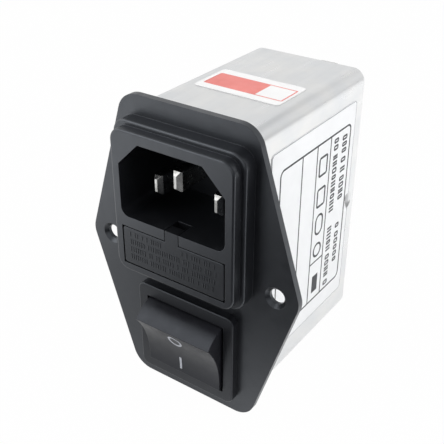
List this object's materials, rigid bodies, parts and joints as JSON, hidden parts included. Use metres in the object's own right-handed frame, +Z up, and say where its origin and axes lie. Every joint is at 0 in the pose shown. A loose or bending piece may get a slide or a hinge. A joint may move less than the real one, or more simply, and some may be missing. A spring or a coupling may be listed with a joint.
{
  "type": "filtered mains inlet",
  "caption": "Panel inlet with mains filter: black flange with pin socket, fuse drawer and rocker switch, and a screened metal case with push-on tabs behind.",
  "frame": {"origin": "midway between the two panel screw holes, on the rear face of the flange", "axes": "X across the front, Y from the front into the panel, Z up; the front faces -Y"},
  "size_m": [0.0498, 0.0605, 0.0654],
  "materials": {
    "black_moulding": "satin black moulding",
    "blade_metal": "bright nickel plate",
    "board_green": "coated glass fibre board",
    "cap_metal": "nickel cap",
    "capacitor_blue": "dipped disc",
    "capacitor_yellow": "yellow box",
    "case_steel": "plain tinned sheet steel, soft satin",
    "contact_brass": "brass strip",
    "core_grey": "coated ferrite",
    "drawer_moulding": "satin black moulding",
    "fuse_glass": "clear tube",
    "fuse_wire": "thin wire",
    "label_white": "white satin label",
    "mark_white": "pale grey print",
    "plate_moulding": "matt black moulding",
    "plunger_plastic": "natural nylon",
    "resistor_tan": "lacquered body",
    "rocker_moulding": "fine satin black",
    "spring_steel": "spring wire",
    "sticker_white": "white gloss sticker",
    "switch_moulding": "satin black moulding",
    "tab_metal": "tinned brass",
    "tinned_metal": "tinned brass",
    "winding_copper": "enamelled copper wire"
  },
  "bodies": {
    "unit": {"housing": "black_moulding", "case": "case_steel", "blade_live": "blade_metal", "blade_neutral": "blade_metal", "blade_earth": "blade_metal", "clip_live_front": "tinned_metal", "clip_live_rear": "tinned_metal", "clip_neutral_front": "tinned_metal", "clip_neutral_rear": "tinned_metal", "switch_frame": "switch_moulding", "switch_tabs": "tinned_metal", "circuit_board": "board_green", "choke_core": "core_grey", "choke_live": "winding_copper", "choke_neutral": "winding_copper", "line_capacitor": "capacitor_yellow", "earth_capacitor_live": "capacitor_blue", "earth_capacitor_neutral": "capacitor_blue", "bleed_resistor": "resistor_tan", "terminal_plate": "plate_moulding", "tab_live": "tab_metal", "tab_neutral": "tab_metal", "tab_earth": "tab_metal", "earth_rivet": "case_steel", "earth_strap": "tinned_metal", "side_label": "label_white", "top_sticker": "sticker_white"},
    "drawer": {"fuse_drawer": "drawer_moulding", "fuse_live_glass": "fuse_glass", "fuse_live_caps": "cap_metal", "fuse_live_wire": "fuse_wire", "fuse_neutral_glass": "fuse_glass", "fuse_neutral_caps": "cap_metal", "fuse_neutral_wire": "fuse_wire"},
    "rocker": {"rocker": "rocker_moulding", "rocker_marks": "mark_white", "rocker_springs": "spring_steel", "rocker_plungers": "plunger_plastic"},
    "contact_bars": {"contact_bars": "contact_brass"}
  },
  "joints": [
    {"name": "rocker_tilt", "type": "hinge", "parent": "unit", "child": "rocker", "pos_m": [0, -0.0013, -0.0188], "axis": [-1, 0, 0], "range_deg": [0, 33]},
    {"name": "contact_tilt", "type": "hinge", "parent": "unit", "child": "contact_bars", "pos_m": [0, 0.0062, -0.0188], "axis": [1, 0, 0], "range_deg": [0, 20]},
    {"name": "drawer_slide", "type": "slide", "parent": "unit", "child": "drawer", "axis": [0, -1, 0], "range_m": [0, 0.025]}
  ],
  "couplings": [
    {"joint": "contact_tilt", "follows": "rocker_tilt", "ratio": 0.606}
  ]
}
